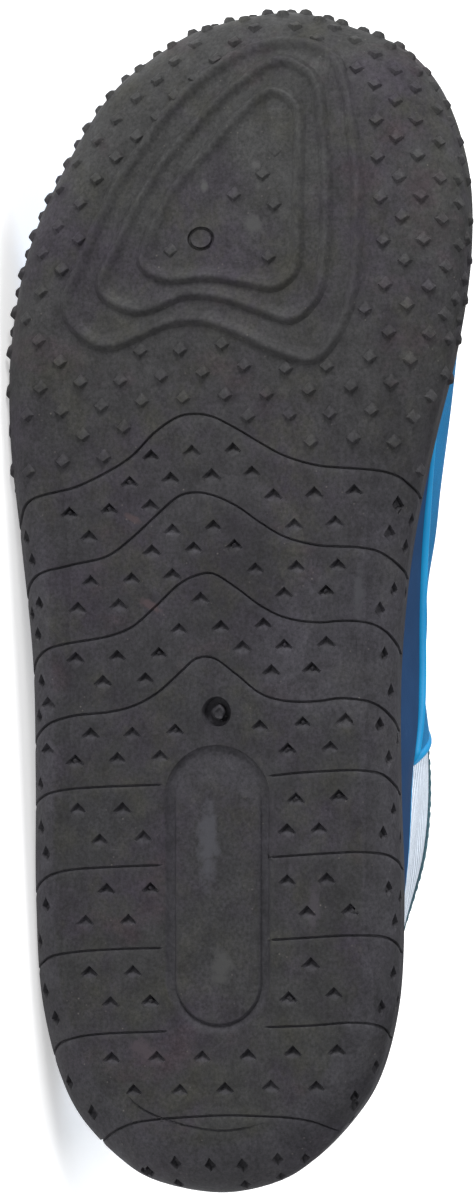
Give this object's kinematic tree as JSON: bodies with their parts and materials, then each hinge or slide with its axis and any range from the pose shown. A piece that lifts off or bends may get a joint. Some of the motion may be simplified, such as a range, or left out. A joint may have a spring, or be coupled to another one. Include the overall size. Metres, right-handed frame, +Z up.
{
  "type": "water shoe",
  "caption": "Slip-on water shoe for the right foot: grooved rubber cup sole, hollow stretch upper, insole and trims, lying on its outer side.",
  "frame": {"origin": "centre of the bounding box's bottom, on the floor that the shoe lies on", "axes": "+X from toe to heel, tread towards -Y, inner (medial) side up along +Z"},
  "size_m": [0.2828, 0.0846, 0.1144],
  "materials": {
    "outsole": "worn matt black rubber",
    "upper": "stretch knit, blue front and white mesh quarters",
    "insole": "foam with fabric face",
    "collar_binding": "dark teal stretch binding",
    "side_band": "navy smooth overlay",
    "piping": "bright blue tubular trim, slightly glossy"
  },
  "bodies": {
    "root": {"outsole": "outsole", "upper": "upper", "insole": "insole", "collar_binding": "collar_binding", "side_band_medial": "side_band", "side_band_lateral": "side_band", "piping_medial": "piping", "piping_lateral": "piping"}
  },
  "joints": []
}
